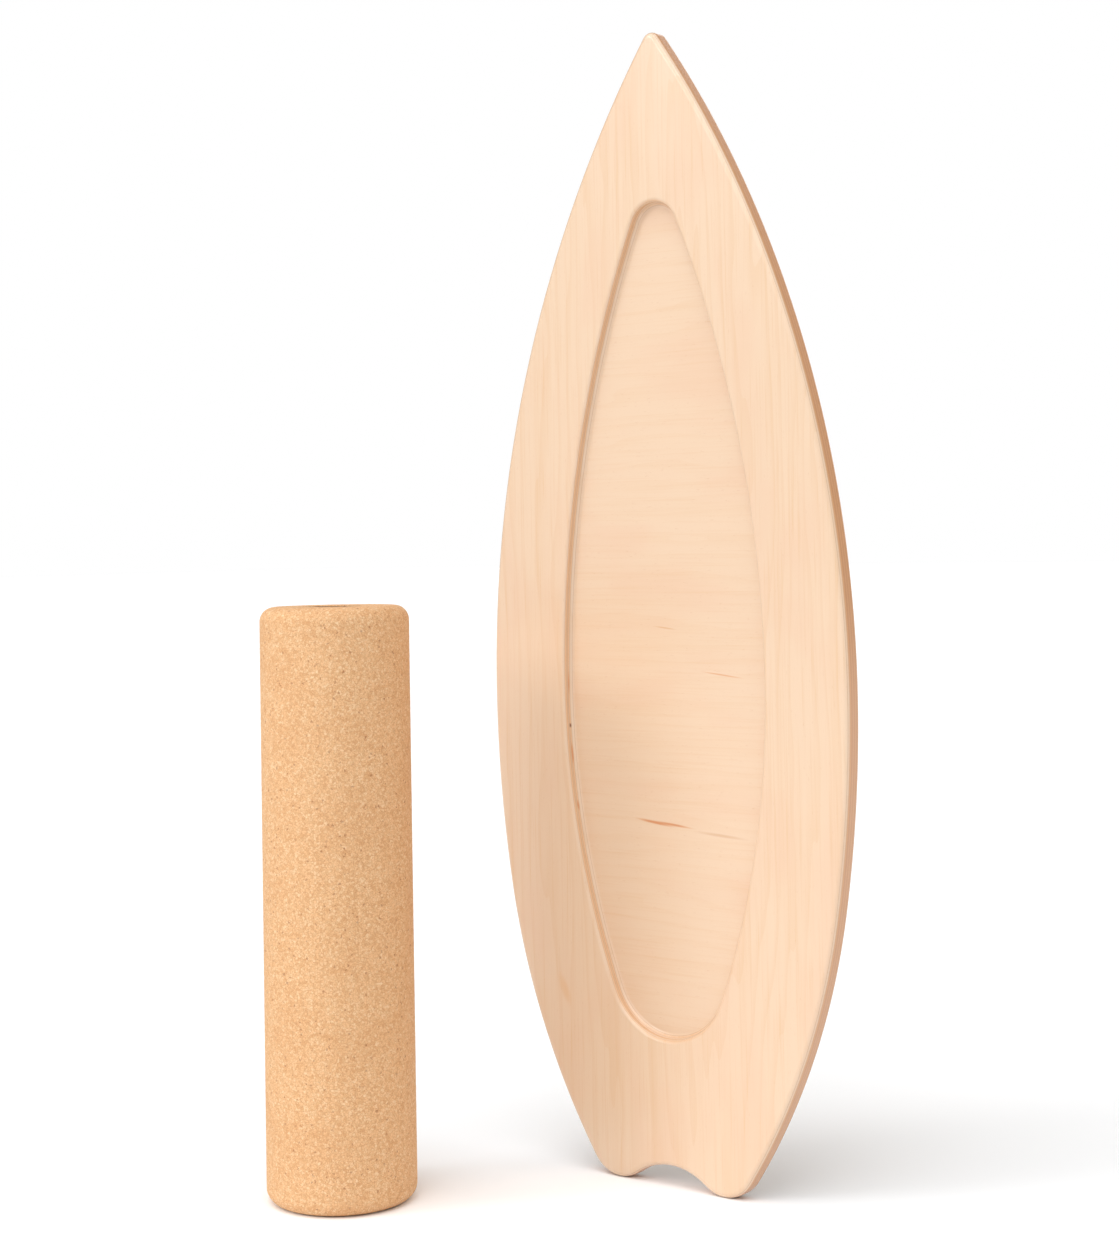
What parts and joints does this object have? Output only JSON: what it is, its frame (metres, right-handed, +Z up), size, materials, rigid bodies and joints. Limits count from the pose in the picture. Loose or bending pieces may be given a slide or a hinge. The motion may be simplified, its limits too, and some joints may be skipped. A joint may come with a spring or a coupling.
{
  "type": "balance board",
  "caption": "Surf-shaped plywood balance board with pointed nose, swallow tail and a routed leaf-shaped recess, standing beside its hollow cork roller.",
  "frame": {"origin": "on the floor, under the middle of the common outline of deck and roller", "axes": "+Z up along the deck's length to its nose, +Y from the recessed underside to the plain standing side, +X to the deck's right as the recess is looked at"},
  "size_m": [0.36, 0.211, 0.779],
  "materials": {
    "face_veneer": "satin",
    "long_grain_veneer": "satin",
    "cross_grain_veneer": "satin",
    "cork": "matte"
  },
  "bodies": {
    "deck": {"underside_face_veneer": "face_veneer", "ply_02_crossband": "cross_grain_veneer", "ply_03_long_grain": "long_grain_veneer", "ply_04_crossband": "cross_grain_veneer", "ply_05_long_grain": "long_grain_veneer", "ply_06_crossband": "cross_grain_veneer", "ply_07_long_grain": "long_grain_veneer", "ply_08_crossband": "cross_grain_veneer", "ply_09_long_grain": "long_grain_veneer", "ply_10_crossband": "cross_grain_veneer", "standing_face_veneer": "face_veneer"},
    "roller": {"cork_roller": "cork"}
  },
  "joints": [
    {"name": "roller_placing", "type": "slide", "parent": "deck", "child": "roller", "axis": [0.6092, 0.3873, 0.692], "range_m": [0, 0.2659]}
  ]
}
